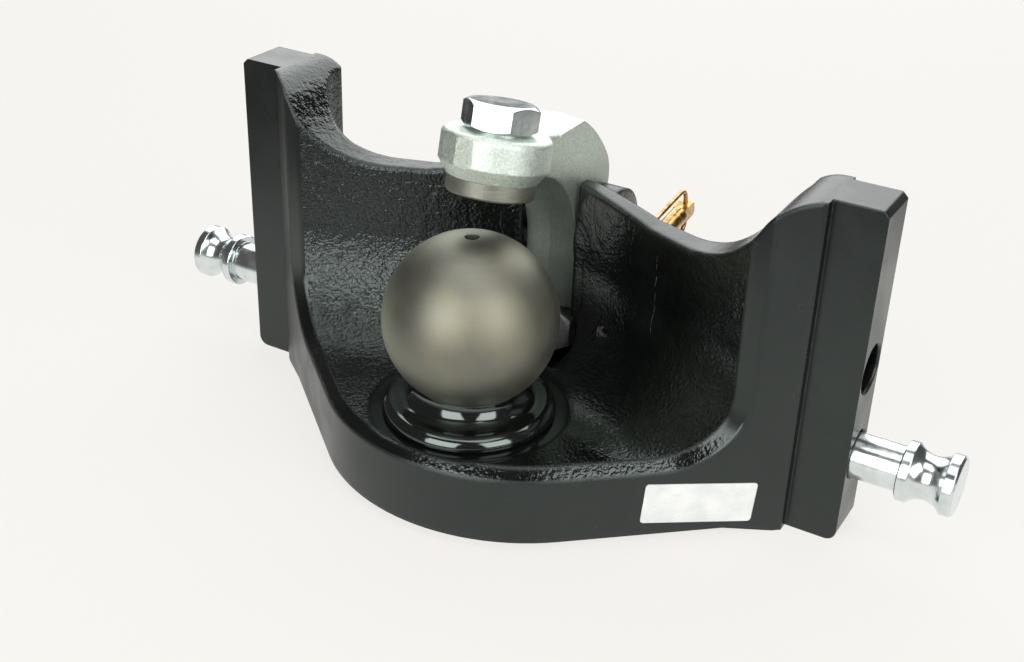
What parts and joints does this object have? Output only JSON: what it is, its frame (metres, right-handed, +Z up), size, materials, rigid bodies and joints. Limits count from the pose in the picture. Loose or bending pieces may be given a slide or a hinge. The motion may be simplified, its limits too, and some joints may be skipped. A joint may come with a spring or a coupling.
{
  "type": "ball coupling",
  "caption": "Cast drawbar coupling with a towing ball in a walled pocket, a hinged hold-down arm above it, slide rails at both ends and locking side pins.",
  "frame": {"origin": "the centre of the towing ball", "axes": "+X along the side pins, to the right seen from the ball's open side; +Y from the ball towards the tractor; +Z up"},
  "size_m": [0.4202, 0.1745, 0.1846],
  "materials": {
    "black_paint": "gloss black paint over a rough casting, smooth on the machined rails",
    "ball_steel": "satin turned steel ball, black painted neck and flange",
    "bright_zinc": "bright zinc plate",
    "grey_zinc": "pale grey zinc coat on a forged surface",
    "bare_steel": "bare turned steel",
    "spring_steel": "dark oiled spring steel",
    "gold_zinc": "yellow passivated zinc"
  },
  "bodies": {
    "frame_casting": {"housing": "black_paint", "ball": "ball_steel", "ball_washer": "bright_zinc", "ball_nut": "bright_zinc", "pivot_pin": "bare_steel", "pivot_roll_pin": "spring_steel"},
    "hold_down": {"hold_down_arm": "grey_zinc", "pressure_pad": "bare_steel", "pad_bolt": "bright_zinc", "stop_screw": "bright_zinc"},
    "lock_pin": {"lock_pin": "bright_zinc"},
    "linch_pin": {"linch_pin": "gold_zinc"},
    "linch_ring": {"linch_ring": "gold_zinc"},
    "side_pin_left": {"side_pin_left": "bright_zinc"},
    "side_pin_right": {"side_pin_right": "bright_zinc"}
  },
  "joints": [
    {"name": "hold_down_hinge", "type": "hinge", "parent": "frame_casting", "child": "hold_down", "pos_m": [0, 0.088, -0.016], "axis": [1, 0, 0], "range_deg": [-0.7, 0]},
    {"name": "lock_pin_slide", "type": "slide", "parent": "frame_casting", "child": "lock_pin", "axis": [-1, 0, 0], "range_m": [0, 0.007]},
    {"name": "linch_pin_slide", "type": "slide", "parent": "lock_pin", "child": "linch_pin", "axis": [0, 0.9903, 0.1392], "range_m": [0, 0.0015]},
    {"name": "linch_ring_hinge", "type": "hinge", "parent": "linch_pin", "child": "linch_ring", "pos_m": [0.047, 0.12266, 0.02037], "axis": [0, -0.1392, 0.9903], "range_deg": [0, 170]},
    {"name": "side_pin_left_slide", "type": "slide", "parent": "frame_casting", "child": "side_pin_left", "axis": [-1, 0, 0], "range_m": [-0.0184, 0.0328]},
    {"name": "side_pin_right_slide", "type": "slide", "parent": "frame_casting", "child": "side_pin_right", "axis": [1, 0, 0], "range_m": [-0.0212, 0.03]}
  ]
}
